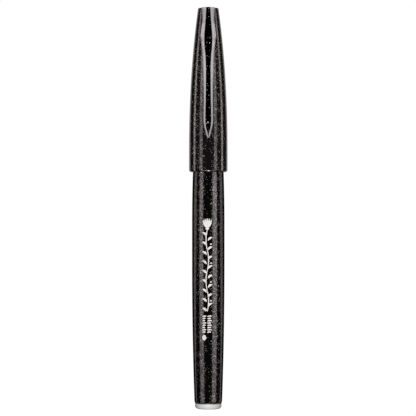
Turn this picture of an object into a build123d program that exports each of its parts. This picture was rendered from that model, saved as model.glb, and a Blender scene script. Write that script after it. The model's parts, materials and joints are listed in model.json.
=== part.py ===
from build123d import *
import os
from math import cos, pi

# A capped brush-tip calligraphy marker, standing on its tail. All sizes are in millimetres.
# +Z runs along the pen from the tail to the top of the cap, and the clip faces -Y.
# The origin is the centre of the tail plug's flat end.
#
# Bench order, from the tail: tail_plug, reservoir_film round reservoir_core, barrel, relay_wick,
# nib_holder, brush_nib. The cap is cap_shell with inner_cap pressed up inside it, a clip whose
# root bead snaps into the top, and cap_crown, which is pressed in last and locks the clip.

os.makedirs("parts", exist_ok=True)

# ---------------------------------------------------------------- overall heights
PEN_TOP = 142.0          # top of the cap with the cap on
CAP_MOUTH = 83.9         # open rim of the cap
BARREL_TAIL = 2.2        # where the tail plug's head ends and the barrel begins
BARREL_FRONT = 95.0      # front rim of the barrel, inside the cap
FIT = 0.05               # radial clearance of parts that turn or slide on each other

# ---------------------------------------------------------------- barrel
BARREL_R = 5.755         # straight middle of the barrel
STRAIGHT_FROM, STRAIGHT_TO = 50.0, 66.0
TAIL_R = 4.90            # outside radius at the tail rim
SHOULDER_R = 5.46        # outside radius where the cap's mouth stops
FRONT_R = 5.11           # outside radius at the front rim
BORE_TAIL_R, BORE_FRONT_R = 3.95, 4.40   # moulding draft of the bore
RIB_R = 3.80             # inner reach of the ribs that centre the reservoir
RIB_COUNT = 6
RIB_WIDTH = 0.6
RIB_FROM, RIB_TO = 10.0, 78.0
SNAP_Z, SNAP_R, SNAP_ROUND = 91.0, 5.48, 0.40   # ring that the cap's ribs click over

# ---------------------------------------------------------------- tail plug
PLUG_R = 4.72
PLUG_EDGE = 1.2          # rounding of the plug's outer edge
SPIGOT_R, SPIGOT_TOP = 3.92, 8.5
PLUG_WALL = 0.85
PLUG_FLOOR = 1.4
POST_R, WEB = 0.9, 0.7   # cross-shaped pusher that stops the reservoir

# ---------------------------------------------------------------- ink system
RESERVOIR_FROM, RESERVOIR_TO = 12.0, 78.0
FILM_R, FILM = 3.72, 0.12
WICK_R, WICK_FROM, WICK_TO = 1.10, 72.0, 104.0
NIB_R, NIB_TIP, NIB_TIP_R = 1.05, 126.8, 0.20
NIB_TAPER_FROM = 121.2

# ---------------------------------------------------------------- nib holder
SHANK_R, SHANK_FROM = 4.27, 80.0
FLANGE_R, FLANGE_TOP = 5.05, 96.4
LAND_R, LAND_TOP = 4.30, 103.2            # cylinder that the inner cap seals on
CONE_R, NOSE_R = 3.95, 1.75
NOSE_FROM, NOSE_TOP = 117.5, 120.0
CHAMBER_R, CHAMBER_TOP = 3.30, 93.0       # hollow back of the holder
GUIDE_R, GUIDE_FROM = 1.95, 84.0          # sleeve round the wick
CHANNEL_CLEAR = 0.06

# ---------------------------------------------------------------- cap shell
FACETS = 16
FACET_SOFTNESS = 0.65    # rounding between two facets, as a share of the radius
CAP_R = 6.84             # radius over those lines, at the mouth
CAP_TOP_DROP = 3.20      # how much smaller that radius is at the top
TAPER_FROM = 90.0        # the cap is straight below this height
TAPER_POWER = 2.22
MOUTH_ROUND = 0.65
MOUTH_BORE_R, MOUTH_BORE_TOP = 5.62, 96.5
CAP_RIB_R, CAP_RIB_COUNT, CAP_RIB_WIDTH = 5.53, 6, 0.7
CROWN_BORE_R = 2.55

# ---------------------------------------------------------------- inner cap
LINER_FROM, LINER_TOP = 96.6, 133.1
LINER_R, LINER_STRAIGHT_TO = 5.20, 112.0
LINER_NECK_R, LINER_NECK_FROM = 3.80, 131.0
LINER_WALL = 0.72
LINER_CEILING = 132.3
LIP_R, LIP_FROM, LIP_TO = 4.33, 98.2, 100.6   # seal lip on the holder's land

# ---------------------------------------------------------------- clip and crown
CLIP_GAP = 1.05          # pocket cloth goes in this gap
CLIP_ROOT_GAP = 0.22
CLIP_THICK_TOP, CLIP_THICK_END = 1.50, 1.15
CLIP_BEVEL = 0.48        # how far a flank drops for each unit that it goes out
CLIP_RIDGE = 0.06        # faint crease down the middle of the face
PIVOT_Y, PIVOT_Z, BEAD_R = -2.0, 139.3, 0.85
TONGUE_THICK, TONGUE_HALF = 1.2, 1.4
SLOT_HALF = TONGUE_HALF + 0.15
CROWN_DISC = 1.7         # thickness of the crown's disc
CROWN_SKIRT_FROM, CROWN_WALL = 136.0, 0.8

# Plan of the clip: distance below the top, half width of the outline, half width of the face.
CLIP_PLAN = [
    (0.0, 2.30, 0.70),
    (4.0, 2.10, 0.96),
    (7.0, 2.38, 1.18),
    (10.4, 2.74, 1.44),
    (13.5, 2.44, 1.38),
    (17.0, 2.08, 1.04),
    (22.5, 1.88, 0.84),
    (31.0, 1.68, 0.90),
    (40.0, 1.76, 1.06),
    (42.8, 1.38, 0.78),
    (44.6, 0.90, 0.38),
    (46.2, 0.20, 0.06),
]


# ---------------------------------------------------------------- helpers
def lathe(*points):
    """A solid turned round the pen's axis from (radius, height) points."""
    outline = Polyline([(r, 0, z) for r, z in points], close=True)
    return revolve(make_face(outline), Axis.Z)


def rod(radius, low, high):
    """A round bar on the axis, from one height to another."""
    return Pos(0, 0, (low + high) / 2) * Cylinder(radius, high - low)


def block(x_half, y_low, y_high, z_low, z_high):
    """A box that is symmetrical about X = 0."""
    centre = Pos(0, (y_low + y_high) / 2, (z_low + z_high) / 2)
    return centre * Box(2 * x_half, y_high - y_low, z_high - z_low)


def ribs(count, width, inner, outer, low, high):
    """Flat radial ribs, evenly spaced round the axis."""
    one = Pos((inner + outer) / 2, 0, (low + high) / 2) * Box(outer - inner, width, high - low)
    return [Rot(0, 0, k * 360 / count) * one for k in range(count)]


def blend_step(t):
    """0 below 0, 1 above 1, and a smooth rise between."""
    t = min(1.0, max(0.0, t))
    return t * t * (3 - 2 * t)


def cap_radius(z):
    """Radius of the cap over its facet lines, at a height."""
    rise = max(0.0, z - TAPER_FROM) / (PEN_TOP - TAPER_FROM)
    return CAP_R - CAP_TOP_DROP * rise**TAPER_POWER


# ---------------------------------------------------------------- body of the pen
def barrel():
    front = Vector(FRONT_R, 0, BARREL_FRONT)
    shoulder = Vector(SHOULDER_R, 0, CAP_MOUTH)
    straight_top = Vector(BARREL_R, 0, STRAIGHT_TO)
    straight_low = Vector(BARREL_R, 0, STRAIGHT_FROM)
    tail = Vector(TAIL_R, 0, BARREL_TAIL + 0.3)
    outline = [
        Line(front, shoulder),
        TangentArc(straight_top, shoulder, tangent=(0, 0, 1)),
        Line(straight_top, straight_low),
        TangentArc(straight_low, tail, tangent=(0, 0, -1)),
        Polyline(
            tail,
            (TAIL_R - 0.3, 0, BARREL_TAIL),
            (0, 0, BARREL_TAIL),
            (0, 0, BARREL_FRONT),
            front,
        ),
    ]
    skin = revolve(make_face(outline), Axis.Z)
    snap_ring = Pos(SNAP_R - SNAP_ROUND, 0, SNAP_Z) * Rot(90, 0, 0) * Circle(SNAP_ROUND)
    skin = skin + revolve(snap_ring, Axis.Z)
    bore = lathe(
        (0, BARREL_TAIL),
        (BORE_TAIL_R, BARREL_TAIL),
        (BORE_FRONT_R, BARREL_FRONT),
        (0, BARREL_FRONT),
    )
    for rib in ribs(RIB_COUNT, RIB_WIDTH, RIB_R, BORE_FRONT_R + 0.3, RIB_FROM, RIB_TO):
        bore = bore - rib
    return skin - bore


def tail_plug():
    head_top = BARREL_TAIL
    outline = [
        Line((0, 0, 0), (PLUG_R - PLUG_EDGE, 0, 0)),
        TangentArc((PLUG_R - PLUG_EDGE, 0, 0), (PLUG_R, 0, PLUG_EDGE), tangent=(1, 0, 0)),
        Polyline(
            (PLUG_R, 0, PLUG_EDGE),
            (PLUG_R, 0, head_top),
            (SPIGOT_R, 0, head_top),
            (SPIGOT_R, 0, SPIGOT_TOP - 0.5),
            (SPIGOT_R - 0.4, 0, SPIGOT_TOP),
            (SPIGOT_R - PLUG_WALL, 0, SPIGOT_TOP),
            (SPIGOT_R - PLUG_WALL, 0, PLUG_FLOOR),
            (0, 0, PLUG_FLOOR),
            (0, 0, 0),
        ),
    ]
    plug = revolve(make_face(outline), Axis.Z)
    post = rod(POST_R, PLUG_FLOOR - 0.1, RESERVOIR_FROM)
    web_reach = SPIGOT_R - PLUG_WALL + 0.1
    cross = Pos(0, 0, (PLUG_FLOOR + SPIGOT_TOP) / 2 - 0.5)
    web_height = SPIGOT_TOP - PLUG_FLOOR - 0.8
    for x, y in ((2 * web_reach, WEB), (WEB, 2 * web_reach)):
        post = post + cross * Box(x, y, web_height)
    return plug + post


def reservoir_film():
    tube = rod(FILM_R, RESERVOIR_FROM, RESERVOIR_TO)
    return tube - rod(FILM_R - FILM, RESERVOIR_FROM, RESERVOIR_TO)


def reservoir_core():
    core = rod(FILM_R - FILM - 0.02, RESERVOIR_FROM, RESERVOIR_TO)
    return core - rod(WICK_R + 0.02, WICK_FROM, RESERVOIR_TO)


def relay_wick():
    return rod(WICK_R, WICK_FROM, WICK_TO)


def nib_holder():
    body = lathe(
        (0, SHANK_FROM),
        (SHANK_R - 0.4, SHANK_FROM),
        (SHANK_R, SHANK_FROM + 0.8),
        (SHANK_R, BARREL_FRONT),
        (FLANGE_R, BARREL_FRONT),
        (FLANGE_R, FLANGE_TOP - 0.25),
        (FLANGE_R - 0.25, FLANGE_TOP),
        (LAND_R, FLANGE_TOP),
        (LAND_R, LAND_TOP - 0.2),
        (LAND_R - 0.2, LAND_TOP),
        (CONE_R, LAND_TOP),
        (NOSE_R + 0.2, NOSE_FROM),
        (NOSE_R, NOSE_FROM + 0.2),
        (NOSE_R, NOSE_TOP - 0.25),
        (NOSE_R - 0.25, NOSE_TOP),
        (0, NOSE_TOP),
    )
    chamber = rod(CHAMBER_R, SHANK_FROM, CHAMBER_TOP) - rod(GUIDE_R, GUIDE_FROM, CHAMBER_TOP)
    wick_hole = rod(WICK_R + CHANNEL_CLEAR, SHANK_FROM, WICK_TO)
    nib_hole = rod(NIB_R + CHANNEL_CLEAR, WICK_TO, NOSE_TOP)
    body = body - chamber - wick_hole - nib_hole
    air_reach = NIB_R + 0.32
    for groove in ribs(4, 0.45, 0.3, air_reach, WICK_TO - 1.0, NOSE_TOP):
        body = body - groove
    return body


def brush_nib():
    shoulder = (NIB_R, 0, NIB_TAPER_FROM)
    tip_side = (NIB_TIP_R, 0, NIB_TIP - NIB_TIP_R)
    tip_break = (NIB_TIP_R / 2, 0, NIB_TIP)
    outline = [
        TangentArc(shoulder, tip_side, tangent=(0, 0, 1)),
        Polyline(tip_side, tip_break, (0, 0, NIB_TIP), (0, 0, WICK_TO), (NIB_R, 0, WICK_TO), shoulder),
    ]
    return revolve(make_face(outline), Axis.Z)


# ---------------------------------------------------------------- cap
def facet_section(z):
    """The cap's outline at a height: a regular polygon with rounded corners."""
    rounding = FACET_SOFTNESS * cap_radius(z)
    sharper = rounding * (1 / cos(pi / FACETS) - 1)
    outline = RegularPolygon(cap_radius(z) + sharper, FACETS)
    return Pos(0, 0, z) * fillet(outline.vertices(), rounding)


def cap_shell():
    heights = [CAP_MOUTH, TAPER_FROM, 97.0, 104.0, 111.0, 118.0, 124.0, 130.0, 136.0, PEN_TOP]
    skin = loft([facet_section(z) for z in heights])
    # A turned envelope rounds the mouth and breaks the top edge of the faceted skin.
    rim = CAP_R + 0.02
    envelope = [
        Line((0, 0, CAP_MOUTH), (rim - MOUTH_ROUND, 0, CAP_MOUTH)),
        TangentArc(
            (rim - MOUTH_ROUND, 0, CAP_MOUTH), (rim, 0, CAP_MOUTH + MOUTH_ROUND), tangent=(1, 0, 0)
        ),
        Polyline(
            (rim, 0, CAP_MOUTH + MOUTH_ROUND),
            (rim, 0, PEN_TOP - (rim - cap_radius(PEN_TOP)) - 0.2),
            (cap_radius(PEN_TOP) - 0.2, 0, PEN_TOP),
            (0, 0, PEN_TOP),
            (0, 0, CAP_MOUTH),
        ),
    ]
    skin = skin & revolve(make_face(envelope), Axis.Z)
    cavity = lathe(
        (0, CAP_MOUTH),
        (MOUTH_BORE_R, CAP_MOUTH),
        (MOUTH_BORE_R, MOUTH_BORE_TOP),
        (LINER_R + FIT, MOUTH_BORE_TOP),
        (LINER_R + FIT, LINER_STRAIGHT_TO),
        (LINER_NECK_R + FIT, LINER_NECK_FROM),
        (LINER_NECK_R, LINER_TOP + 0.1),
        (CROWN_BORE_R, LINER_TOP + 0.1),
        (CROWN_BORE_R, PEN_TOP),
        (0, PEN_TOP),
    )
    rib_low, rib_high = CAP_MOUTH + 1.1, MOUTH_BORE_TOP - 1.5
    for rib in ribs(
        CAP_RIB_COUNT, CAP_RIB_WIDTH, CAP_RIB_R, MOUTH_BORE_R + 0.2, rib_low, rib_high
    ):
        cavity = cavity - rib
    slot_floor = PIVOT_Z - TONGUE_THICK / 2 - 0.15
    slot = block(SLOT_HALF, -CAP_R, -CROWN_BORE_R + 0.7, slot_floor, PEN_TOP)
    return skin - cavity - slot


def inner_cap():
    inner_r = LINER_R - LINER_WALL
    neck_inner = LINER_NECK_R - LINER_WALL
    return lathe(
        (inner_r + 0.3, LINER_FROM),
        (LINER_R - 0.2, LINER_FROM),
        (LINER_R, LINER_FROM + 0.2),
        (LINER_R, LINER_STRAIGHT_TO),
        (LINER_NECK_R, LINER_NECK_FROM),
        (LINER_NECK_R - FIT, LINER_TOP - 0.3),
        (LINER_NECK_R - FIT - 0.3, LINER_TOP),
        (0, LINER_TOP),
        (0, LINER_CEILING),
        (neck_inner - 0.3, LINER_CEILING),
        (neck_inner, LINER_CEILING - 0.3),
        (neck_inner, LINER_NECK_FROM),
        (inner_r, LINER_STRAIGHT_TO),
        (inner_r, LIP_TO + 0.4),
        (LIP_R, LIP_TO),
        (LIP_R, LIP_FROM),
        (inner_r, LIP_FROM - 0.4),
        (inner_r, LINER_FROM + 0.3),
    )


def cap_crown():
    disc_low = PEN_TOP - CROWN_DISC
    radius = CROWN_BORE_R - FIT
    crown = rod(radius, CROWN_SKIRT_FROM, PEN_TOP)
    crown = crown - rod(radius - CROWN_WALL, CROWN_SKIRT_FROM, disc_low)
    pocket = block(SLOT_HALF + 0.05, -radius - 0.1, PIVOT_Y + BEAD_R + 0.15, PIVOT_Z - 1.1, disc_low)
    # The key fills the slot above the clip's tongue, so the clip can't lift out.
    key_half = SLOT_HALF - FIT
    wall_outside = -cap_radius(PEN_TOP) + 0.12
    key = block(key_half, wall_outside, -radius + 0.6, disc_low, PEN_TOP)
    key_lip_low = PIVOT_Z + TONGUE_THICK / 2 + 0.15
    key_lip = block(key_half, wall_outside, PIVOT_Y - 0.6, key_lip_low, disc_low)
    crown = crown - pocket + key + key_lip
    for k in range(3):
        groove = Rot(0, 0, 90 + 120 * k) * Pos(radius, 0, (CROWN_SKIRT_FROM + PEN_TOP) / 2)
        if k:
            crown = crown - groove * Box(0.7, 1.1, PEN_TOP - CROWN_SKIRT_FROM)
    return crown


def clip_section(depth, outline_half, face_half):
    """One cross-section of the clip, a bevelled bar that stands off the cap."""
    z = PEN_TOP - depth
    gap = CLIP_ROOT_GAP + (CLIP_GAP - CLIP_ROOT_GAP) * blend_step((depth - 5.0) / 8.0)
    length = CLIP_PLAN[-1][0]
    thick = CLIP_THICK_TOP + (CLIP_THICK_END - CLIP_THICK_TOP) * depth / length
    thick = thick * (1 - 0.45 * blend_step((depth - 41.0) / 5.2))
    back = -(cap_radius(z) + gap)
    face = back - thick
    edge = face + CLIP_BEVEL * (outline_half - face_half)
    ridge = CLIP_RIDGE * min(1.0, face_half)
    side = [(outline_half, back), (outline_half, edge), (face_half, face)]
    points = side + [(0, face - ridge)] + [(-x, y) for x, y in reversed(side)]
    return make_face(Polyline([(x, y, z) for x, y in points], close=True))


def clip():
    arm = loft([clip_section(*row) for row in CLIP_PLAN])
    root_y = -(cap_radius(PIVOT_Z) + CLIP_ROOT_GAP + 0.5)
    tongue = block(
        TONGUE_HALF, root_y, PIVOT_Y, PIVOT_Z - TONGUE_THICK / 2, PIVOT_Z + TONGUE_THICK / 2
    )
    bead = Pos(0, PIVOT_Y, PIVOT_Z) * Rot(0, 90, 0) * Cylinder(BEAD_R, 2 * TONGUE_HALF)
    foot_z = PEN_TOP - 43.0
    foot_r = 1.0
    foot = Pos(0, -(cap_radius(foot_z) + foot_r + 0.06), foot_z) * Sphere(foot_r)
    return arm + tongue + bead + foot


PARTS = {
    "barrel": barrel,
    "tail_plug": tail_plug,
    "reservoir_film": reservoir_film,
    "reservoir_core": reservoir_core,
    "relay_wick": relay_wick,
    "nib_holder": nib_holder,
    "brush_nib": brush_nib,
    "cap_shell": cap_shell,
    "inner_cap": inner_cap,
    "cap_crown": cap_crown,
    "clip": clip,
}

for name, make in PARTS.items():
    piece = make()
    export_step(piece, f"parts/{name}.step")
    print(name, len(piece.solids()), "solid,", round(piece.volume, 1), "mm3")
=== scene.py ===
# %% [markdown]
# # A brush-tip calligraphy marker
#
# The pen stands on its pale tail plug with the cap on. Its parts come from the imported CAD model,
# which stays fixed. This lesson gives each part the look of the real one: glossy black plastic
# with fine glitter in it, a bevelled clip that catches the light, and a milky plug.
#
# Where the CAD shape is already right, its part is kept and only gets a finish. The parts with
# long reflections on them are made again as cleaner meshes, because a mirror-like skin shows
# every uneven triangle.

# %% Load the fixed frame
import json
import math

import bmesh
import bpy
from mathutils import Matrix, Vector

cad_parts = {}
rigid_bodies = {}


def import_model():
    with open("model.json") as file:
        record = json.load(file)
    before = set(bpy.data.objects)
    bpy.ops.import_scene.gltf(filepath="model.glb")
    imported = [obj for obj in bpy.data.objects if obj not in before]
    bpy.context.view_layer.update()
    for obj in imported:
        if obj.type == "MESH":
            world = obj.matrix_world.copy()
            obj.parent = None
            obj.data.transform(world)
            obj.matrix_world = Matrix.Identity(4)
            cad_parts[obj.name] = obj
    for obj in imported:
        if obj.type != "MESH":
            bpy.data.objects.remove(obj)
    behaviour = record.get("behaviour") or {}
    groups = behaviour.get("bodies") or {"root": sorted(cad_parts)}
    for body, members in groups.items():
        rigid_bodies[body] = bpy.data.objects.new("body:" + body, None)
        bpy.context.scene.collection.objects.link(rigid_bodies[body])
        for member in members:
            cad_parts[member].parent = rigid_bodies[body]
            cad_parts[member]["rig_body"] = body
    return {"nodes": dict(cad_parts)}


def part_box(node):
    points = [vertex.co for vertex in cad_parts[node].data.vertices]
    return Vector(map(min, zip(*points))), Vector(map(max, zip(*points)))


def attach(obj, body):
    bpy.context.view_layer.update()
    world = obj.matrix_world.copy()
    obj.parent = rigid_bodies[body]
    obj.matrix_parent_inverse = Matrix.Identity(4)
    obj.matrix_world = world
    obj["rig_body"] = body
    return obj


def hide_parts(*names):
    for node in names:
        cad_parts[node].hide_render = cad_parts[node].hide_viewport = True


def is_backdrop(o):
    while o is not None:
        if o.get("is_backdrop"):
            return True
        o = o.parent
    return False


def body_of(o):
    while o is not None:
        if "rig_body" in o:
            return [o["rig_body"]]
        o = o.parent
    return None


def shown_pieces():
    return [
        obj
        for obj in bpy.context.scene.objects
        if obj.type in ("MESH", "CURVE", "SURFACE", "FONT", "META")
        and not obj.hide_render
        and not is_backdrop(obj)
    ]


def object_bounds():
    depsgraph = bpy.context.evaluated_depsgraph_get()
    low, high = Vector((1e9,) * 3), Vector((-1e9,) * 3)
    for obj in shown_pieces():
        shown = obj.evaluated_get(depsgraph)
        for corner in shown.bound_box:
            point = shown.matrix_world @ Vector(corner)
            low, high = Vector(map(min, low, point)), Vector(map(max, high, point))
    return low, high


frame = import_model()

cad_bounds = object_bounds()
MM = 0.001
for name in sorted(frame["nodes"]):
    low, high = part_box(name)
    print(name, [round(v / MM, 2) for v in (*low, *high)])

# %% [markdown]
# ## Reading the sizes
#
# The limits of every part below come from the boxes of the CAD parts, in millimetres, so the looks
# follow the frame. Only the shapes between those limits, such as the bow of the barrel, are
# described again here.

# %% Read the heights and radii
barrel_low, barrel_high = [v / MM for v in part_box("barrel")]
cap_low, cap_high = [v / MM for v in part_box("cap_shell")]
clip_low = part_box("clip")[0] / MM

BARREL_R = barrel_high.x
TAIL, FRONT = barrel_low.z, barrel_high.z
CAP_R = cap_high.x
MOUTH, TOP = cap_low.z, cap_high.z
CLIP_LENGTH = TOP - clip_low.z
print("barrel radius", round(BARREL_R, 3), "cap radius", round(CAP_R, 3), "top", round(TOP, 2))

# %% [markdown]
# ## Sewing rings into a skin
#
# Most of this pen was turned or moulded along one axis, so nearly every part can be described by
# rings of points stacked along it. A lathe or a Screw modifier could spin an outline, but the cap
# isn't round and the clip is a bar, so one helper that joins any rings with four-sided faces
# serves every part.

# %% Make a mesh from rings
def place(name, shape):
    """Turns a finished bmesh into an object in the scene."""
    mesh = bpy.data.meshes.new(name)
    shape.to_mesh(mesh)
    shape.free()
    made = bpy.data.objects.new(name, mesh)
    bpy.context.scene.collection.objects.link(made)
    return made


def around(count):
    """Evenly spaced angles of a full turn."""
    return [2 * math.pi * k / count for k in range(count)]


def sew(name, *stacks, loop=False, crisp=35.0):
    """One piece from stacks of rings of points in millimetres. With loop, a stack's ends meet."""
    shape = bmesh.new()
    for rings in stacks:
        rows = [[shape.verts.new([c * MM for c in point]) for point in ring] for ring in rings]
        pairs = list(zip(rows, rows[1:]))
        if loop:
            pairs.append((rows[-1], rows[0]))
        else:
            shape.faces.new(rows[0][::-1])
            shape.faces.new(rows[-1])
        for below, above in pairs:
            for i, corner in enumerate(below):
                after = (i + 1) % len(below)
                shape.faces.new((corner, below[after], above[after], above[i]))
    bmesh.ops.recalc_face_normals(shape, faces=shape.faces)
    piece = place(name, shape)
    smooth(piece, crisp)
    print(name, len(piece.data.vertices), "points,", len(piece.data.polygons), "faces")
    return piece


def smooth(piece, crisp=35.0):
    """Smooth shading, apart from edges that turn by more than crisp degrees."""
    piece.data.polygons.foreach_set("use_smooth", [True] * len(piece.data.polygons))
    piece.data.set_sharp_from_angle(angle=math.radians(crisp))

# %% [markdown]
# ## Turning an outline with softened corners
#
# No moulded edge is perfectly sharp: each has a small radius that catches a line of light. The
# outline of a turned part is a list of corners with a rounding for each, and every corner becomes
# a short curve before it is spun.

# %% Soften corners and spin an outline
def soften(corners, steps=6):
    """An outline from (x, y, rounding) corners; each rounding becomes a short curve."""
    outline = []
    count = len(corners)
    for i, (x, y, rounding) in enumerate(corners):
        if not rounding:
            outline.append((x, y))
            continue
        ends = []
        for j in (i - 1, (i + 1) % count):
            dx, dy = corners[j][0] - x, corners[j][1] - y
            length = math.hypot(dx, dy)
            reach = min(rounding, 0.49 * length) / length
            ends.append((x + dx * reach, y + dy * reach))
        (ax, ay), (bx, by) = ends
        for k in range(steps + 1):
            t = k / steps
            outline.append((
                (1 - t) ** 2 * ax + 2 * t * (1 - t) * x + t * t * bx,
                (1 - t) ** 2 * ay + 2 * t * (1 - t) * y + t * t * by,
            ))
    return outline


def spin(name, outline, count=128, crisp=35.0):
    """A part turned round the pen's axis from a closed outline of (radius, height) points."""
    rings = [[(r * math.cos(a), r * math.sin(a), z) for a in around(count)] for r, z in outline]
    return sew(name, rings, loop=True, crisp=crisp)

# %% [markdown]
# ## The barrel
#
# The barrel is one long moulded tube. It is straight where the fingers hold it and bows in very
# slightly towards both ends, less than a millimetre over half its length. That bow bends the long
# reflections, so the outline follows two shallow arcs and isn't simplified to cones. The front end
# hides in the cap: it slopes in and has a small ring that the cap clicks over.

# %% Turn the barrel
STRAIGHT_FROM, STRAIGHT_TO = 50.0, 66.0
TAIL_R, SHOULDER_R, FRONT_R = 4.90, 5.46, 5.11
BORE_TAIL_R, BORE_FRONT_R = 3.95, 4.40
SNAP_Z, SNAP_R, SNAP_ROUND = 91.0, 5.48, 0.40


def barrel_radius(z):
    """Outside radius of the barrel at a height."""
    if z < STRAIGHT_FROM:
        share = (STRAIGHT_FROM - z) / (STRAIGHT_FROM - TAIL)
        return BARREL_R - (BARREL_R - TAIL_R) * share**2
    if z <= STRAIGHT_TO:
        return BARREL_R
    if z <= MOUTH:
        share = (z - STRAIGHT_TO) / (MOUTH - STRAIGHT_TO)
        return BARREL_R - (BARREL_R - SHOULDER_R) * share**2
    share = (z - MOUTH) / (FRONT - MOUTH)
    slope = SHOULDER_R - (SHOULDER_R - FRONT_R) * share
    off = abs(z - SNAP_Z)
    if off < SNAP_ROUND:
        return max(slope, SNAP_R - SNAP_ROUND + math.sqrt(SNAP_ROUND**2 - off**2))
    return slope


RING_GAP = 1.5
heights = [TAIL + 1.0 + k * RING_GAP for k in range(58)]
heights = [z for z in heights if z < SNAP_Z - 0.5]
heights += [SNAP_Z + SNAP_ROUND * k / 8 for k in range(-8, 9)] + [92.0, 93.5, 94.5]
outline = soften(
    [(BORE_TAIL_R, TAIL, 0.1), (TAIL_R - 0.02, TAIL, 0.45)]
    + [(barrel_radius(z), z, 0) for z in heights]
    + [(FRONT_R, FRONT, 0.2), (BORE_FRONT_R, FRONT, 0.1)]
)
barrel = spin("barrel_tube", outline)
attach(barrel, "pen")
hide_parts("barrel")

# %% [markdown]
# ## The cap's section
#
# The cap isn't quite round. It has sixteen soft facets, so shallow that the hand hardly feels
# them, but a glossy black surface shows them as bands of light and dark that run up to the narrow
# top. A polygon whose corners are rounded by two thirds of its radius gives that section. The
# section stacked at many heights makes the tapering shell.

# %% Describe the cap's section
FACETS = 16
FACET_SOFTNESS = 0.65
ARC_STEPS, FLAT_STEPS = 6, 3
TAPER_FROM, TAPER_POWER, TOP_DROP = 90.0, 2.22, 3.20


def cap_radius(z):
    """Radius of the cap over the lines between its facets, at a height."""
    rise = max(0.0, z - TAPER_FROM) / (TOP - TAPER_FROM)
    return CAP_R - TOP_DROP * rise**TAPER_POWER


def cap_ring(z, inset=0.0):
    """The cap's outline at a height, drawn in by an inset."""
    radius = cap_radius(z)
    soft = FACET_SOFTNESS * radius
    turn = 2 * math.pi / FACETS
    arcs = []
    for k in range(FACETS):
        cx, cy = (radius - soft) * math.cos(k * turn), (radius - soft) * math.sin(k * turn)
        for j in range(ARC_STEPS + 1):
            a = (k + j / ARC_STEPS - 0.5) * turn
            arcs.append((cx + (soft - inset) * math.cos(a), cy + (soft - inset) * math.sin(a)))
    ring = []
    for i, (x, y) in enumerate(arcs):
        ring.append((x, y, z))
        if i % (ARC_STEPS + 1) == ARC_STEPS:
            nx, ny = arcs[(i + 1) % len(arcs)]
            shares = [j / FLAT_STEPS for j in range(1, FLAT_STEPS)]
            ring += [(x + (nx - x) * t, y + (ny - y) * t, z) for t in shares]
    return ring


print("points in a ring of the cap:", len(cap_ring(TOP)))

# %% [markdown]
# ## The cap's bore
#
# Inside the mouth, six thin ribs centre the cap on the barrel. They can only be seen with the cap
# off, where they catch the light in the dark bore. A ring of the bore has as many points as a ring
# of the outside, so that one skin can run up the outside and back down the inside.

# %% Describe the cap's bore
RIB_COUNT = 6
RIB_HALF = math.degrees(0.35 / 5.6)
RIB_EDGE = RIB_HALF + 0.15
BORE_R, RIB_R, SEAT_R, NECK_R, CROWN_BORE_R = 5.62, 5.53, 5.25, 3.85, 2.55


def bore_ring(z, radius, rib_radius=None):
    """A round ring inside the cap; the six ribs stand out of it if they have a radius."""
    turns = [-RIB_EDGE, -RIB_HALF, -RIB_HALF / 2, 0, RIB_HALF / 2, RIB_HALF, RIB_EDGE]
    rest = len(cap_ring(z)) // RIB_COUNT - len(turns)
    room = 360 / RIB_COUNT - 2 * RIB_EDGE
    turns += [RIB_EDGE + room * (k + 1) / (rest + 1) for k in range(rest)]
    ring = []
    for k in range(RIB_COUNT):
        for i, degrees in enumerate(turns):
            r = rib_radius if rib_radius and 0 < i < 6 else radius
            a = math.radians(k * 360 / RIB_COUNT + degrees)
            ring.append((r * math.cos(a), r * math.sin(a), z))
    return ring


print("points in a ring of the bore:", len(bore_ring(MOUTH, BORE_R)))

# %% [markdown]
# ## The cap's skin
#
# The rings go up the outside from the rounded lip, over the thin top edge, down through the hole
# that the crown is pressed into, and back down the bore. A slot for the clip's tongue is cut from
# the top with a Boolean, because it crosses many rings. The clip covers it, so its flat cut edges
# don't spoil a reflection.

# %% Sew the cap and cut its slot
LIP, CLIMB = 0.65, 48
CROWN_FLOOR, NECK_Z, SEAT_TOP, SEAT_FLOOR = 133.2, 131.0, 112.0, 96.5
RIB_FROM, RIB_TO, RIB_SLOPE = 85.0, 95.1, 0.2
SLOT_HALF, SLOT_FLOOR, SLOT_INNER = 1.55, 138.55, -1.85

rings = []
for degrees in range(0, 91, 9):
    a = math.radians(degrees)
    rings.append(cap_ring(MOUTH + LIP * (1 - math.cos(a)), LIP * (1 - math.sin(a))))
side = TOP - 0.2 - MOUTH - LIP
rings += [cap_ring(MOUTH + LIP + side * k / CLIMB) for k in range(1, CLIMB + 1)]
rings += [cap_ring(TOP - 0.06, 0.06), cap_ring(TOP, 0.2)]
bore = [
    (TOP, CROWN_BORE_R, None),
    (CROWN_FLOOR, CROWN_BORE_R, None),
    (CROWN_FLOOR, NECK_R, None),
    (NECK_Z, NECK_R, None),
    (SEAT_TOP, SEAT_R, None),
    (SEAT_FLOOR, SEAT_R, None),
    (SEAT_FLOOR, BORE_R, None),
    (RIB_TO, BORE_R, None),
    (RIB_TO - RIB_SLOPE, BORE_R, RIB_R),
    (RIB_FROM + RIB_SLOPE, BORE_R, RIB_R),
    (RIB_FROM, BORE_R, None),
    (MOUTH, BORE_R, None),
]
rings += [bore_ring(*row) for row in bore]
cap = sew("cap_skin", rings, loop=True)

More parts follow.
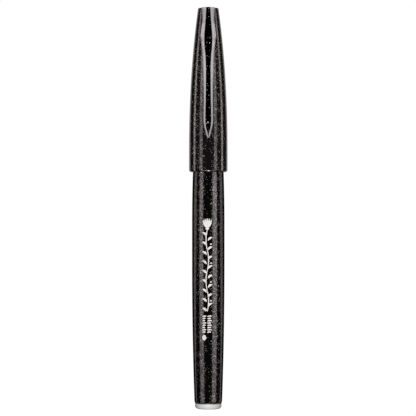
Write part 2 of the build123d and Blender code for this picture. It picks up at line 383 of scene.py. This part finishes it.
corners = [(-1, -CAP_R), (1, -CAP_R), (1, SLOT_INNER), (-1, SLOT_INNER)]
levels = (SLOT_FLOOR, TOP + 1)
cutter = sew("slot_cutter", [[(x * SLOT_HALF, y, z) for x, y in corners] for z in levels])
cut = cap.modifiers.new("clip slot", "BOOLEAN")
cut.object = cutter
cut.solver = "EXACT"
bpy.context.view_layer.update()
sewn = cap.evaluated_get(bpy.context.evaluated_depsgraph_get())
cap.data = bpy.data.meshes.new_from_object(sewn)
cap.modifiers.clear()
bpy.data.objects.remove(cutter)
smooth(cap)
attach(cap, "cap")
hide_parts("cap_shell")
print("cap with its slot:", len(cap.data.polygons), "faces")

# %% [markdown]
# ## The clip's plan
#
# The clip is a moulded bar with wide bevels. It swells to a small bulb near its top, narrows to a
# waist, keeps its width for a long way and ends in a point. The plan lists its half width and the
# half width of its flat face at a few distances below the top, and a smooth curve runs through
# those rows, so that the bevels bend the light without kinks.

# %% Describe the clip's plan
CLIP_PLAN = [
    (0.0, 2.30, 0.70),
    (4.0, 2.10, 0.96),
    (7.0, 2.38, 1.18),
    (10.4, 2.74, 1.44),
    (13.5, 2.44, 1.38),
    (17.0, 2.08, 1.04),
    (22.5, 1.88, 0.84),
    (31.0, 1.68, 0.90),
    (40.0, 1.76, 1.06),
    (42.8, 1.38, 0.78),
    (44.6, 1.00, 0.26),
    (46.2, 0.30, 0.03),
]


def plan_at(depth, column):
    """The plan's value at a depth, on a smooth curve through its rows."""
    xs, ys = [row[0] for row in CLIP_PLAN], [row[column] for row in CLIP_PLAN]
    steps = [(ys[i + 1] - ys[i]) / (xs[i + 1] - xs[i]) for i in range(len(xs) - 1)]
    slopes = [steps[0]] + [
        0.0 if a * b <= 0 else 2 * a * b / (a + b) for a, b in zip(steps, steps[1:])
    ] + [steps[-1]]
    i = max(k for k in range(len(xs) - 1) if xs[k] <= depth + 1e-9)
    span = xs[i + 1] - xs[i]
    t = (depth - xs[i]) / span
    return (
        ys[i] * (1 + 2 * t) * (1 - t) ** 2
        + ys[i + 1] * t * t * (3 - 2 * t)
        + span * slopes[i] * t * (1 - t) ** 2
        - span * slopes[i + 1] * t * t * (1 - t)
    )


print("widest at the bulb:", round(2 * plan_at(10.4, 1), 2), "mm")

# %% [markdown]
# ## The clip's bar
#
# Each section has a flat back, two upright sides, two sloping bevels and a face with a faint
# crease down its middle. The bar stands off the cap by a millimetre so that a pocket's cloth fits
# behind it, and comes close to the cap at its root.

# %% Sew the clip's bar
CLIP_GAP, ROOT_GAP = 1.05, 0.22
THICK_TOP, THICK_END = 1.50, 1.15
BEVEL, RIDGE = 0.48, 0.05


def ease(t):
    """0 below 0, 1 above 1, and a smooth rise between."""
    t = min(1.0, max(0.0, t))
    return t * t * (3 - 2 * t)


def clip_ring(depth, shrink=0.0):
    """One section of the clip, drawn in by shrink for its softened ends."""
    z = TOP - depth
    half, face_half = plan_at(depth, 1), plan_at(depth, 2)
    gap = ROOT_GAP + (CLIP_GAP - ROOT_GAP) * ease((depth - 5.0) / 8.0)
    thick = THICK_TOP + (THICK_END - THICK_TOP) * depth / CLIP_LENGTH
    thick *= 1 - 0.45 * ease((depth - 41.0) / 5.2)
    back = -(cap_radius(z) + gap)
    face = back - thick
    edge = face + BEVEL * (half - face_half)
    ridge = RIDGE * min(1.0, face_half)
    side = [(half, back, 0.12), (half, edge, 0.12), (face_half, face, 0.06)]
    corners = side + [(0, face - ridge, 0.2)] + [(-x, y, r) for x, y, r in reversed(side)]
    middle = (back + face) / 2
    squeeze_x, squeeze_y = 1 - shrink / max(half, 0.2), 1 - 2 * shrink / thick
    return [(x * squeeze_x, middle + (y - middle) * squeeze_y, z) for x, y in soften(corners, 4)]


SECTIONS = 92
depths = [0.12 + k * (CLIP_LENGTH - 0.2) / SECTIONS for k in range(SECTIONS + 1)]
bar = [clip_ring(0, 0.12), clip_ring(0.03, 0.05)] + [clip_ring(d) for d in depths]
bar += [clip_ring(CLIP_LENGTH, 0.05)]
clip = sew("clip_bar", bar, crisp=28)
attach(clip, "clip")
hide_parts("clip")

# %% [markdown]
# ## The clip's foot and tongue
#
# Near its point the clip has a small round foot that presses on the cap and holds the cloth. At
# the top a tongue goes through the cap's wall, with a round bead on its end. The bead snaps into a
# groove and lets the clip tip open by a few degrees, so the tongue is shaped like a keyhole.

# %% Shape the foot and the tongue
FOOT_Z, FOOT_R = TOP - 43.0, 1.0
foot_y = -(cap_radius(FOOT_Z) + FOOT_R + 0.06)
foot_rings = []
for k in range(1, 12):
    a = math.pi * k / 12
    r, y = FOOT_R * math.sin(a), foot_y + FOOT_R * math.cos(a)
    foot_rings.append([(r * math.cos(t), y, FOOT_Z + r * math.sin(t)) for t in around(32)])
foot = sew("clip_foot", foot_rings)
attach(foot, "clip")

PIVOT_Y, PIVOT_Z, BEAD_R, TONGUE_HALF, TONGUE_THICK = -2.0, 139.3, 0.85, 1.4, 1.2
root_y = -(cap_radius(PIVOT_Z) + ROOT_GAP + 0.5)
mouth_angle = math.asin(TONGUE_THICK / 2 / BEAD_R)
keyhole = [(root_y, TONGUE_THICK / 2)]
for k in range(25):
    a = math.pi - mouth_angle - (2 * math.pi - 2 * mouth_angle) * k / 24
    keyhole.append((PIVOT_Y + BEAD_R * math.cos(a), BEAD_R * math.sin(a)))
keyhole.append((root_y, -TONGUE_THICK / 2))
tongue_rings = []
for x, share in [(-1, 0.93), (-0.96, 1), (0.96, 1), (1, 0.93)]:
    tongue_rings.append([(x * TONGUE_HALF, y, PIVOT_Z + z * share) for y, z in keyhole])
tongue = sew("clip_tongue", tongue_rings)
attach(tongue, "clip")

# %% [markdown]
# ## Brush strokes for the print
#
# Bold white marks are screen printed down the front of the barrel. Here they are a plain leafy
# ornament made of tapered brush strokes, as dense as a printed name would be but without any
# letters. Each stroke is a thin film of ink wrapped onto the barrel: it follows a bent line across
# the surface and swells in its middle, as a stroke of this pen would.

# %% Draw strokes on the barrel
INK = 0.012


def on_barrel(across, z, lift):
    """The point on the barrel's front at a distance round it and a height."""
    r = barrel_radius(z)
    turn = across / r
    return ((r + lift) * math.sin(turn), -(r + lift) * math.cos(turn), z)


def stroke(start, end, width, bend=0.0, taper=0.75, steps=12):
    """Rings for one film of ink from start to end, each (across, height) in millimetres."""
    (ax, az), (bx, bz) = start, end
    length = math.hypot(bx - ax, bz - az)
    nx, nz = -(bz - az) / length, (bx - ax) / length
    rings = []
    for k in range(steps + 1):
        t = k / steps
        swell = math.sin(math.pi * (0.04 + 0.92 * t))
        half = width / 2 * (1 - taper + taper * swell**0.7)
        if k in (0, steps):
            half *= 0.55
        bow = bend * 4 * t * (1 - t)
        x, z = ax + (bx - ax) * t + nx * bow, az + (bz - az) * t + nz * bow
        sides = [(-half, -INK), (half, -INK), (half, INK), (0, INK), (-half, INK)]
        rings.append([on_barrel(x + nx * s, z + nz * s, lift) for s, lift in sides])
    return rings


def dot(x, z, width, height):
    """A rounded blot of ink."""
    return stroke((x, z - height / 2), (x, z + height / 2), width, taper=0.95, steps=14)


print("points in a stroke:", sum(len(ring) for ring in stroke((0, 50), (1, 52), 0.6)))

# %% [markdown]
# A waving stem runs down one column with leaves on both sides and a bud at its top. Under it are
# two narrow rows of fine dashes and a single round blot.

# %% Print the ornament
COLUMN, BUD_BASE, BUD_TIP = -0.35, 64.2, 67.5
STEM_TOP, STEM_PART = 63.6, 7.2
LEAF_TOP, LEAF_GAP = 61.4, 1.66
DASH_TOP, DASH_GAP = 33.0, 0.8

marks = []
for lean in (-1.45, -0.75, 0.0, 0.75, 1.45):
    root, tip = (COLUMN + 0.2 * lean, BUD_BASE), (COLUMN + lean, BUD_TIP - 0.22 * lean**2)
    marks.append(stroke(root, tip, 0.72, -0.12 * lean, taper=0.9))
marks.append(dot(COLUMN, 63.9, 1.3, 0.8))
for k in range(4):
    top, sway = STEM_TOP - STEM_PART * k, 0.45 if k % 2 else -0.45
    end = top - STEM_PART - 0.05
    marks.append(stroke((COLUMN, top), (COLUMN, end), 0.34, sway, taper=0.2, steps=16))
for k in range(17):
    z, side = LEAF_TOP - LEAF_GAP * k, 1 if k % 2 else -1
    root, tip = (COLUMN + 0.25 * side, z), (COLUMN + 1.75 * side, z + 1.15)
    marks.append(stroke(root, tip, 0.78, 0.22 * side, taper=0.95))
    if k % 4 == 2:
        marks.append(dot(COLUMN - 1.3 * side, z + 0.35, 0.55, 0.6))
for k in range(8):
    z = DASH_TOP - DASH_GAP * k
    for start, end in ((-2.1, -0.75 - 0.2 * (k % 3)), (-0.35, 1.25 - 0.25 * (k % 2))):
        marks.append(stroke((start, z), (end, z + 0.1), 0.5, 0.04, taper=0.4, steps=6))
marks.append(dot(-1.45, 25.5, 1.5, 1.9))
ink = sew("printed_strokes", *marks)
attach(ink, "pen")

# %% [markdown]
# ## A small kit for materials
#
# Every finish is a graph of shader nodes. Written node by node such a graph is hard to read, so
# two small classes help. One adds a node from its type, its settings and its inputs. The other
# wraps a single output, so that ordinary sums and comparisons add the Math nodes.

# %% Make the material kit
class Number:
    """One number in a finish; sums with it add Math nodes."""

    def __init__(self, finish, socket):
        self.finish, self.socket = finish, socket

    def maths(self, operation, *inputs):
        values = {i: v for i, v in enumerate(inputs)}
        node = self.finish.add("ShaderNodeMath", {"operation": operation}, values)
        return Number(self.finish, node.outputs[0])

    def __add__(self, other):
        return self.maths("ADD", self, other)

    def __radd__(self, other):
        return self.maths("ADD", other, self)

    def __sub__(self, other):
        return self.maths("SUBTRACT", self, other)

    def __rsub__(self, other):
        return self.maths("SUBTRACT", other, self)

    def __mul__(self, other):
        return self.maths("MULTIPLY", self, other)

    def __rmul__(self, other):
        return self.maths("MULTIPLY", other, self)

    def __truediv__(self, other):
        return self.maths("DIVIDE", self, other)

    def __rtruediv__(self, other):
        return self.maths("DIVIDE", other, self)

    def __pow__(self, other):
        return self.maths("POWER", self, other)

    def __gt__(self, other):
        return self.maths("GREATER_THAN", self, other)

    def __lt__(self, other):
        return self.maths("LESS_THAN", self, other)


class Finish:
    """A material under construction."""

    def __init__(self, name):
        self.material = bpy.data.materials.new(name)
        self.material.use_nodes = True
        self.tree = self.material.node_tree
        self.tree.nodes.clear()
        self.place = self.add("ShaderNodeTexCoord").outputs["Object"]

    def add(self, kind, settings=None, values=None):
        """One node from its type, its settings, and the values or links for its sockets."""
        node = self.tree.nodes.new(kind)
        for setting, value in (settings or {}).items():
            setattr(node, setting, value)
        for key, value in (values or {}).items():
            socket = node.inputs[key]
            if isinstance(value, Number):
                value = value.socket
            if isinstance(value, bpy.types.NodeSocket):
                self.tree.links.new(value, socket)
            else:
                socket.default_value = value
        return node

    def number(self, socket):
        return Number(self, socket)

    def grain(self, size, detail=2.0, rough=0.5):
        """Soft noise from 0 to 1 with features of a size in millimetres."""
        values = {"Vector": self.place, "Scale": 1 / (size * MM)}
        values |= {"Detail": detail, "Roughness": rough}
        node = self.add("ShaderNodeTexNoise", {"noise_dimensions": "3D"}, values)
        return Number(self, node.outputs["Fac"])

    def blend(self, share, first, second):
        """A colour between two others."""
        mix = self.add("ShaderNodeMix", {"data_type": "RGBA"}, {0: share, 6: first, 7: second})
        return mix.outputs[2]

    def surface(self, **values):
        """Ends the graph in one shader with these inputs."""
        inputs = {k.replace("_", " "): v for k, v in values.items()}
        return self.end(self.add("ShaderNodeBsdfPrincipled", {}, inputs))

    def end(self, shader):
        """Sends a shader node to the material's output."""
        self.add("ShaderNodeOutputMaterial", {}, {"Surface": shader.outputs[0]})
        return self.material


def wear(piece, material):
    """Gives a piece one material in place of any it has."""
    piece.data.materials.clear()
    piece.data.materials.append(material)


print("the material kit is ready")

# %% [markdown]
# ## Black plastic with glitter in it
#
# The barrel and the cap are black plastic with tiny metal flakes under a clear skin. The clear skin
# reflects the lights sharply. The flakes lie in it at slightly different tilts, so inside a bright
# reflection some shine and some don't, which gives the reflection a fine grain, and in the dark
# parts only a few glint.
#
# A Voronoi texture gives each flake a cell of its own, with a colour that serves as its random
# tilt. A second random number picks which cells hold a flake. A bump map would be simpler, but it
# would wrinkle the skin too.

# %% Mix the glitter plastic
def glitter(name, flake_size, density, tilt, flake, base, metal=0.0, seed=0.0):
    """Clear-coated plastic with metal flakes: their size in mm, share of cells, and tilt."""
    finish = Finish(name)
    shifted = finish.add(
        "ShaderNodeVectorMath", {"operation": "ADD"}, {0: finish.place, 1: (seed, seed, 0)}
    ).outputs[0]
    cells = finish.add(
        "ShaderNodeTexVoronoi",
        {"voronoi_dimensions": "3D", "feature": "F1"},
        {"Vector": shifted, "Scale": 1 / (flake_size * MM)},
    )
    pick = finish.add(
        "ShaderNodeTexWhiteNoise", {"noise_dimensions": "3D"}, {"Vector": cells.outputs["Position"]}
    )
    chance = finish.number(pick.outputs["Value"])
    shape = finish.number(cells.outputs["Distance"]) < 0.55
    mask = (chance < density) * shape
    centred = finish.add(
        "ShaderNodeVectorMath",
        {"operation": "SUBTRACT"},
        {0: cells.outputs["Color"], 1: (0.5, 0.5, 0.5)},
    ).outputs[0]
    reach = tilt * mask * (chance / density) ** 1.6
    lean = finish.add("ShaderNodeVectorMath", {"operation": "SCALE"}, {0: centred, "Scale": reach})
    surface = finish.add("ShaderNodeNewGeometry").outputs["Normal"]
    tilted = finish.add(
        "ShaderNodeVectorMath", {"operation": "ADD"}, {0: surface, 1: lean.outputs[0]}
    ).outputs[0]
    normal = finish.add("ShaderNodeVectorMath", {"operation": "NORMALIZE"}, {0: tilted}).outputs[0]
    return finish.surface(
        Base_Color=finish.blend(mask, base, flake),
        Metallic=mask.maths("MAXIMUM", mask, metal),
        Roughness=0.1,
        Specular_IOR_Level=0.0,
        Normal=normal,
        Coat_Weight=1.0,
        Coat_Roughness=0.03,
        Coat_IOR=1.5,
    )


BLACK = (0.006, 0.0055, 0.0055, 1)
barrel_black = glitter(
    "black glitter plastic", flake_size=0.19, density=0.22, tilt=0.8,
    flake=(0.27, 0.25, 0.25, 1), base=BLACK,
)
cap_black = glitter(
    "black glitter cap", flake_size=0.18, density=0.22, tilt=0.6,
    flake=(0.25, 0.22, 0.22, 1), base=BLACK, seed=0.37,
)
wear(barrel, barrel_black)
wear(cap, cap_black)
print(barrel_black.name, len(barrel_black.node_tree.nodes), "nodes")

# %% [markdown]
# ## The clip's plastic
#
# The real clip is glossy black too, with bright bevels. Here its whole surface is a mid-grey
# metal, because a metal mirrors the lights in its bevels strongly, while its face looks straight
# out into the dark room and stays nearly black. That works from the front. From the side the clip
# looks pale silver, which black plastic wouldn't, so a black base under a clear coat, with
# stronger lights for the bevels, would be the better way.

# %% Mix the clip's plastic
SILVERY = (0.22, 0.22, 0.225, 1)
clip_black = glitter(
    "black clip plastic", flake_size=0.22, density=0.22, tilt=0.9,
    flake=SILVERY, base=SILVERY, metal=1.0, seed=0.71,
)
for piece in (clip, foot, tongue):
    wear(piece, clip_black)
print(clip_black.name, len(clip_black.node_tree.nodes), "nodes")

# %% [markdown]
# ## Plain moulded plastics
#
# The other plastics are plain, with a faint unevenness from the mould. The plug and the inner cap
# are milky, and light goes a little way into them. The crown and the nib holder are plain black.
# Noise varies the colour and the roughness slightly, since a perfectly even surface looks false.
#
# A thin dark line of painted shade, standing in for the shadow in the gap where the plug meets the
# barrel, is darkened into the plug's colour over the last half millimetre below the joint.

# %% Mix the plain plastics
def moulded(name, dark, light, roughness, milkiness=0.0, coat=0.0, shaded_joint=None):
    """Plain plastic between two colours; painted shade darkens it up to a joint at a height in mm.
    """
    finish = Finish(name)
    cloud = finish.grain(1.6, 3.0)
    # painted shade: the colour goes nearly black just below the joint, for the shadow between plug
    # and barrel
    if shaded_joint is not None:
        height = finish.add("ShaderNodeSeparateXYZ", {}, {"Vector": finish.place}).outputs["Z"]
        limits = {"From Min": (shaded_joint - 0.5) * MM, "From Max": (shaded_joint - 0.05) * MM}
        clear_of_shade = finish.add(
            "ShaderNodeMapRange",
            {"interpolation_type": "SMOOTHSTEP"},
            {"Value": height, **limits, "To Min": 1.0, "To Max": 0.0},
        ).outputs["Result"]
        dark, light = [finish.blend(clear_of_shade, (0.02, 0.02, 0.02, 1), tone) for tone in (dark, light)]
    pores = finish.grain(0.12, 1.0)
    bump = finish.add(
        "ShaderNodeBump", {}, {"Height": pores, "Strength": 0.05, "Distance": 0.02 * MM}
    )
    return finish.surface(
        Base_Color=finish.blend(cloud, dark, light),
        Roughness=roughness + (cloud - 0.5) * 0.12,
        Normal=bump.outputs[0],
        Subsurface_Weight=milkiness,
        Subsurface_Scale=1.0 * MM,
        Subsurface_Radius=(1.0, 0.95, 0.9),
        Coat_Weight=coat,
    )


finishes = {
    # the plug's colour carries a painted shade line just below where it meets the barrel
    "tail_plug": moulded(
        "milky plug", (0.78, 0.77, 0.76, 1), (0.84, 0.83, 0.82, 1), 0.35, 0.6, shaded_joint=TAIL
    ),
    "inner_cap": moulded(
        "milky liner", (0.62, 0.62, 0.60, 1), (0.70, 0.70, 0.68, 1), 0.4, 0.4
    ),
    "cap_crown": moulded(
        "black crown", (0.010, 0.010, 0.010, 1), (0.016, 0.015, 0.015, 1), 0.3, coat=0.3
    ),
    "nib_holder": moulded(
        "black holder", (0.008, 0.008, 0.009, 1), (0.014, 0.013, 0.013, 1), 0.2, coat=0.2
    ),
    "reservoir_film": moulded(
        "clear film", (0.55, 0.56, 0.58, 1), (0.62, 0.63, 0.64, 1), 0.2
    ),
}
for node, material in finishes.items():
    wear(frame["nodes"][node], material)
print("plain plastics:", ", ".join(m.name for m in finishes.values()))

# %% [markdown]
# ## Fibre and ink
#
# The nib, the wick and the reservoir are bundles of fibres that run along the pen. Noise that is
# stretched along the pen shows them as fine streaks. The nib and the wick are soaked in black ink.
# The printed marks are a dull white film with slightly uneven ink.

# %% Mix the fibres and the ink
def fibre(name, dark, light, size, roughness, damp=0.0):
    """A bundle of fibres with streaks of a width in mm; damp fibres shine a little."""
    finish = Finish(name)
    stretched = finish.add(
        "ShaderNodeMapping",
        {"vector_type": "POINT"},
        {"Vector": finish.place, "Scale": (1, 1, 0.06)},
    ).outputs[0]
    streaks = finish.add(
        "ShaderNodeTexNoise",
        {"noise_dimensions": "3D"},
        {"Vector": stretched, "Scale": 1 / (size * MM), "Detail": 2.0},
    )
    level = finish.number(streaks.outputs["Fac"])
    bump = finish.add(
        "ShaderNodeBump", {}, {"Height": level, "Strength": 0.4, "Distance": 0.06 * MM}
    )
    return finish.surface(
        Base_Color=finish.blend(level, dark, light),
        Roughness=roughness - 0.2 * (level - 0.5),
        Normal=bump.outputs[0],
        Coat_Weight=damp,
        Coat_Roughness=0.3,
    )


bundles = {
    "brush_nib": fibre(
        "inked nib fibre", (0.006, 0.006, 0.008, 1), (0.035, 0.035, 0.04, 1), 0.10, 0.45, 0.25
    ),
    "relay_wick": fibre(
        "inked wick fibre", (0.01, 0.01, 0.012, 1), (0.04, 0.04, 0.045, 1), 0.12, 0.75
    ),
    "reservoir_core": fibre(
        "reservoir fibre", (0.02, 0.02, 0.024, 1), (0.10, 0.10, 0.11, 1), 0.2, 0.85
    ),
}
for node, material in bundles.items():
    wear(frame["nodes"][node], material)
wear(ink, moulded("printed white", (0.50, 0.50, 0.49, 1), (0.58, 0.57, 0.56, 1), 0.6))
print("materials in use:", len([m for m in bpy.data.materials if m.users]))

# %% [markdown]
# ## A white room that only the camera sees
#
# In a pure white room a glossy black pen would mirror the walls and look grey. So the white dome
# and the pale floor are visible to the camera alone, and the pen only reflects a few soft lights
# and stays black between them. The floor is one sheet that shows its upper side only, so the pen
# can also be seen from below.

# %% Stage the floor and the backdrop
WHITE = 1.02
DOME_R, DOME_MIDDLE, FLOOR_R, FLOOR_DROP = 4000, 70, 3000, 0.1


def glow(name, one_sided=False):
    """Even white light; a one-sided sheet is clear from behind."""
    finish = Finish(name)
    mist = finish.grain(900.0, 1.0)
    pale = finish.blend(mist, (0.995, 0.995, 0.995, 1), (1, 1, 1, 1))
    shader = finish.add("ShaderNodeEmission", {}, {"Color": pale, "Strength": WHITE})
    if one_sided:
        clear = finish.add("ShaderNodeBsdfTransparent")
        behind = finish.add("ShaderNodeNewGeometry").outputs["Backfacing"]
        sides = {0: behind, 1: shader.outputs[0], 2: clear.outputs[0]}
        shader = finish.add("ShaderNodeMixShader", {}, sides)
    return finish.end(shader)


def only_for_camera(thing):
    """Stages a thing that lights nothing and isn't reflected."""
    for ray in ("diffuse", "glossy", "transmission", "volume_scatter", "shadow"):
        setattr(thing, "visible_" + ray, False)
    thing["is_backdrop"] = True


dome_rings = []
for k in range(1, 24):
    a = math.pi * k / 24
    r, z = DOME_R * math.sin(a), DOME_MIDDLE - DOME_R * math.cos(a)
    dome_rings.append([(r * math.cos(t), r * math.sin(t), z) for t in around(48)])
dome = sew("white_dome", dome_rings)
wear(dome, glow("backdrop white"))
only_for_camera(dome)

sheet = bmesh.new()
rim = [(FLOOR_R * math.cos(t), FLOOR_R * math.sin(t), -FLOOR_DROP) for t in around(64)]
sheet.faces.new([sheet.verts.new([c * MM for c in point]) for point in rim])
floor = place("pale_floor", sheet)
wear(floor, glow("floor white", one_sided=True))
only_for_camera(floor)
print("dome and floor:", round(DOME_R * MM, 2), "and", round(FLOOR_R * MM, 2), "m in radius")

# %% [markdown]
# ## Soft lights
#
# A glossy round pen shows each light as an upright band, so the lights decide the look. Each one
# is a tall panel that stands a metre away and faces the pen, from one angle round it to another.
# A bright pair stands in front to the left and right and another pair stands at the sides, dim
# for the barrel and bright for the cap. The cap has a third, dim pair behind it, which gives its
# outline a bright edge.
#
# The barrel is smooth and the cap is faceted, and each looks best under its own panels, so each
# panel is linked to one group of parts. A panel is an emission added to a clear shader: it gives
# light and lets other rays pass, so one group's panels never block those of the other.

# %% Hang the light panels
groups = {}
for group, bodies in {"pen": ("pen",), "cap": ("cap", "cap_liner", "clip")}.items():
    groups[group] = bpy.data.collections.new("lit as " + group)
    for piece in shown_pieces():
        if body_of(piece)[0] in bodies:
            groups[group].objects.link(piece)

PANEL_REACH = {"cap": 1.0, "pen": 1.03}
PANEL_COLUMNS = 20
WARM_WHITE = (1, 0.93, 0.94, 1)


def ramp(t, soft_in, soft_out):
    """How bright a panel is at a share t of its width; both edges fade."""
    return ease(t / soft_in) * ease((1 - t) / soft_out)


def panel(name, group, rows, brightness, soft=(0.15, 0.15)):
    """A glowing curved panel from rows of (height in metres, start, end in degrees, level)."""
    reach = PANEL_REACH[group]
    shape = bmesh.new()
    fade = shape.verts.layers.float.new("fade")
    grid = []
    for height, start, end, level in rows:
        line = []
        for k in range(PANEL_COLUMNS + 1):
            a = math.radians(start + (end - start) * k / PANEL_COLUMNS)
            corner = shape.verts.new((reach * math.sin(a), -reach * math.cos(a), height))
            corner[fade] = level * ramp(k / PANEL_COLUMNS, *soft)
            line.append(corner)
        grid.append(line)
    for low, high in zip(grid, grid[1:]):
        for k in range(PANEL_COLUMNS):
            shape.faces.new((low[k], low[k + 1], high[k + 1], high[k]))
    made = place(name, shape)
    finish = Finish(name)
    edge = finish.add("ShaderNodeAttribute", {"attribute_name": "fade"}).outputs["Fac"]
    cloth = 0.96 + finish.grain(60.0, 2.0) * 0.08
    colour = finish.blend(finish.number(edge) * cloth, (0, 0, 0, 1), WARM_WHITE)
    light = finish.add("ShaderNodeEmission", {}, {"Color": colour, "Strength": brightness})
    clear = finish.add("ShaderNodeBsdfTransparent")
    both = {0: light.outputs[0], 1: clear.outputs[0]}
    wear(made, finish.end(finish.add("ShaderNodeAddShader", {}, both)))
    made.visible_camera = False
    made.visible_shadow = False
    made.light_linking.receiver_collection = groups[group]
    made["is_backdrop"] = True


def mirrored(rows, side):
    """The same rows on the right for side 1 and on the left for side -1."""
    return [(height, side * start, side * end, level) for height, start, end, level in rows]


cap_front = [
    (-0.5, 28, 60, 0.75), (0.2, 28, 60, 0.75), (0.3, 28, 60, 1), (0.4, 28, 60, 0.9),
    (0.5, 28, 62, 0.65), (0.6, 27, 68, 0.9), (1.3, 27, 70, 0.9),
]
cap_side = [
    (-0.5, 79, 105, 1), (0.2, 79, 105, 1), (0.3, 75, 101, 1), (0.4, 70, 95, 0.9),
    (0.5, 69, 94, 0.6), (1.3, 66, 90, 0.6),
]
cap_back = [
    (-0.5, 135, 179, 1), (0.2, 135, 179, 1), (0.3, 127, 179, 1), (0.4, 117, 179, 1),
    (1.3, 112, 179, 1),
]
barrel_side = [(-1.0, 112, 125, 1), (-0.1, 110, 125, 1), (0.05, 90, 123, 1), (0.8, 88, 123, 1)]
barrel_right = [(-1.0, 28, 68, 0.6), (-0.1, 28, 68, 0.65), (0.05, 28, 67, 1), (0.8, 28, 67, 1)]
barrel_left = [
    (-1.0, -30, -69, 0.65), (-0.1, -30, -69, 0.7), (0.05, -36, -67, 1), (0.8, -36, -67, 1),
]
for side, word in ((1, "right"), (-1, "left")):
    panel(f"cap_front_{word}", "cap", mirrored(cap_front, side), 2.2)
    panel(f"cap_side_{word}", "cap", mirrored(cap_side, side), 2.4)
    panel(f"cap_back_{word}", "cap", mirrored(cap_back, side), 0.6, soft=(0.05, 0.1))
    panel(f"barrel_side_{word}", "pen", mirrored(barrel_side, side), 0.75)
panel("barrel_front_right", "pen", barrel_right, 2.6)
panel("barrel_front_left", "pen", barrel_left, 2.2)

# %% [markdown]
# ## Small lamps
#
# The pale plug and the print are matt, so they need light that falls on them from near the camera
# and fades round the sides. They get lamps of their own, and the plug leaves the panels. Two more
# lamps stand low in front: they only show in the cap's rounded lip, as a short glint in a soft
# glow.

# %% Add the small lamps
def lamp(name, position, aim, width, height, brightness, group):
    """A flat lamp that the camera doesn't see; positions and sizes are in metres."""
    data = bpy.data.lights.new(name, "AREA")
    data.shape, data.size, data.size_y = "RECTANGLE", width, height
    data.energy = brightness * math.pi * width * height
    made = bpy.data.objects.new(name, data)
    made.location = position
    made.rotation_euler = (Vector(aim) - made.location).to_track_quat("-Z", "Y").to_euler()
    made.visible_camera = False
    made.light_linking.receiver_collection = groups[group]
    bpy.context.scene.collection.objects.link(made)


plug = frame["nodes"]["tail_plug"]
groups["pale"] = bpy.data.collections.new("lit as pale parts")
for piece in (ink, plug):
    groups["pale"].objects.link(piece)
groups["pen"].objects.unlink(plug)

LIP_POINT, PALE_POINT = (0, 0, MOUTH * MM), (0, 0, 0.03)
lamp("lip glint", (0.02, -0.66, -0.66), LIP_POINT, 0.36, 0.9, 7, "cap")
lamp("lip glow", (0, -0.70, -0.70), LIP_POINT, 1.3, 0.9, 1.6, "cap")
lamp("pale parts front fill", (0, -0.95, 0.2), PALE_POINT, 0.5, 0.7, 8.5, "pale")
lamp("pale parts back fill", (0, 0.95, 0.2), PALE_POINT, 0.9, 0.7, 2.5, "pale")
lamp("pale parts low fill", (0, 0, -0.95), (0, 0, 0), 0.9, 0.9, 1.2, "pale")
print("lamps:", len(bpy.data.lights), "in groups", sorted(groups))

# %% [markdown]
# ## The camera
#
# The camera stands 0.8 m in front of the pen at half its height and looks straight at it through
# a long lens. From that distance the two ends are seen only slightly at an angle. Everything is
# sharp, so depth of field is off.

# %% Set the camera
scene = bpy.context.scene
view = bpy.data.cameras.new("front camera")
SENSOR, HALF_ANGLE, DISTANCE = 36, 5.267, 0.8
ASIDE, RAISED = -0.1, 0.16
view.sensor_width = SENSOR
view.lens = SENSOR / 2 / math.tan(math.radians(HALF_ANGLE))
view.dof.use_dof = False
camera = bpy.data.objects.new("front camera", view)
camera.location = (ASIDE * MM, -DISTANCE, (TOP / 2 + RAISED) * MM)
camera.rotation_euler = (math.pi / 2, 0, 0)
scene.collection.objects.link(camera)
scene.camera = camera

world = bpy.data.worlds.new("dark room")
world.use_nodes = True
world.node_tree.nodes["Background"].inputs["Strength"].default_value = 0.0
scene.world = world
scene.view_settings.view_transform = "Standard"
print("lens", round(view.lens, 1), "mm at", [round(v, 3) for v in camera.location])

# %% [markdown]
# ## Measuring the result
#
# The looks must not change the object's size, so the box of all shown parts is measured before
# and after and both are printed.

# %% Print the sizes
size = {
    "cad": [list(corner) for corner in cad_bounds],
    "looks": [list(corner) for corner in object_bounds()],
}
for key, (low, high) in size.items():
    print(key, [round(v / MM, 3) for v in (*low, *high)])
